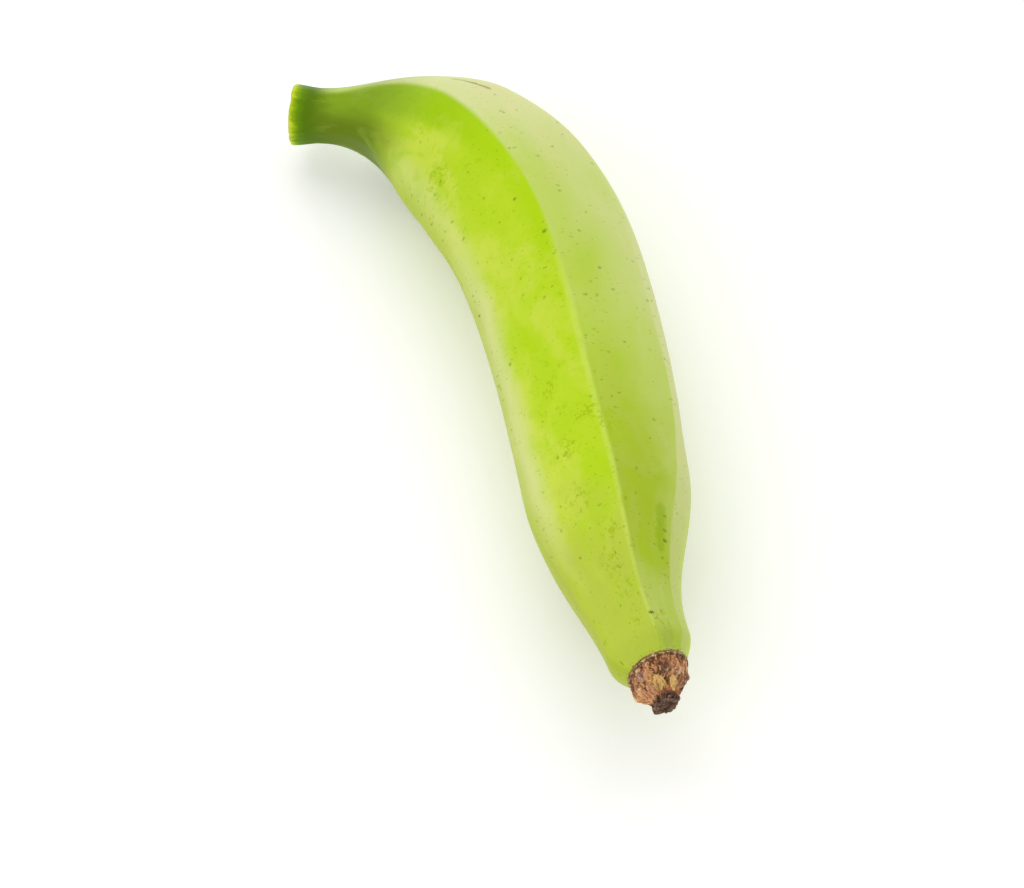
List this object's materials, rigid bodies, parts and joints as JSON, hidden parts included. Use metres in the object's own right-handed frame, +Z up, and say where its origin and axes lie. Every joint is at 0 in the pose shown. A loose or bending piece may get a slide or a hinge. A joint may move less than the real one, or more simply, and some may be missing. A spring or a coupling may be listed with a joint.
{
  "type": "plantain",
  "caption": "Green plantain fruit with a ridged, curved peel, a cut stem and a dried blossom end, lying on its side.",
  "frame": {"origin": "centre of the bounding box in plan, on the surface the fruit lies on", "axes": "+X from the cut stem to the blossom end, +Z up, the inside of the bend faces -Y"},
  "size_m": [0.2472, 0.0742, 0.0514],
  "materials": {
    "peel": "waxy green peel with a satin sheen; the cut stem face is pale green and the dried blossom end is brown"
  },
  "bodies": {
    "root": {"plantain": "peel"}
  },
  "joints": []
}
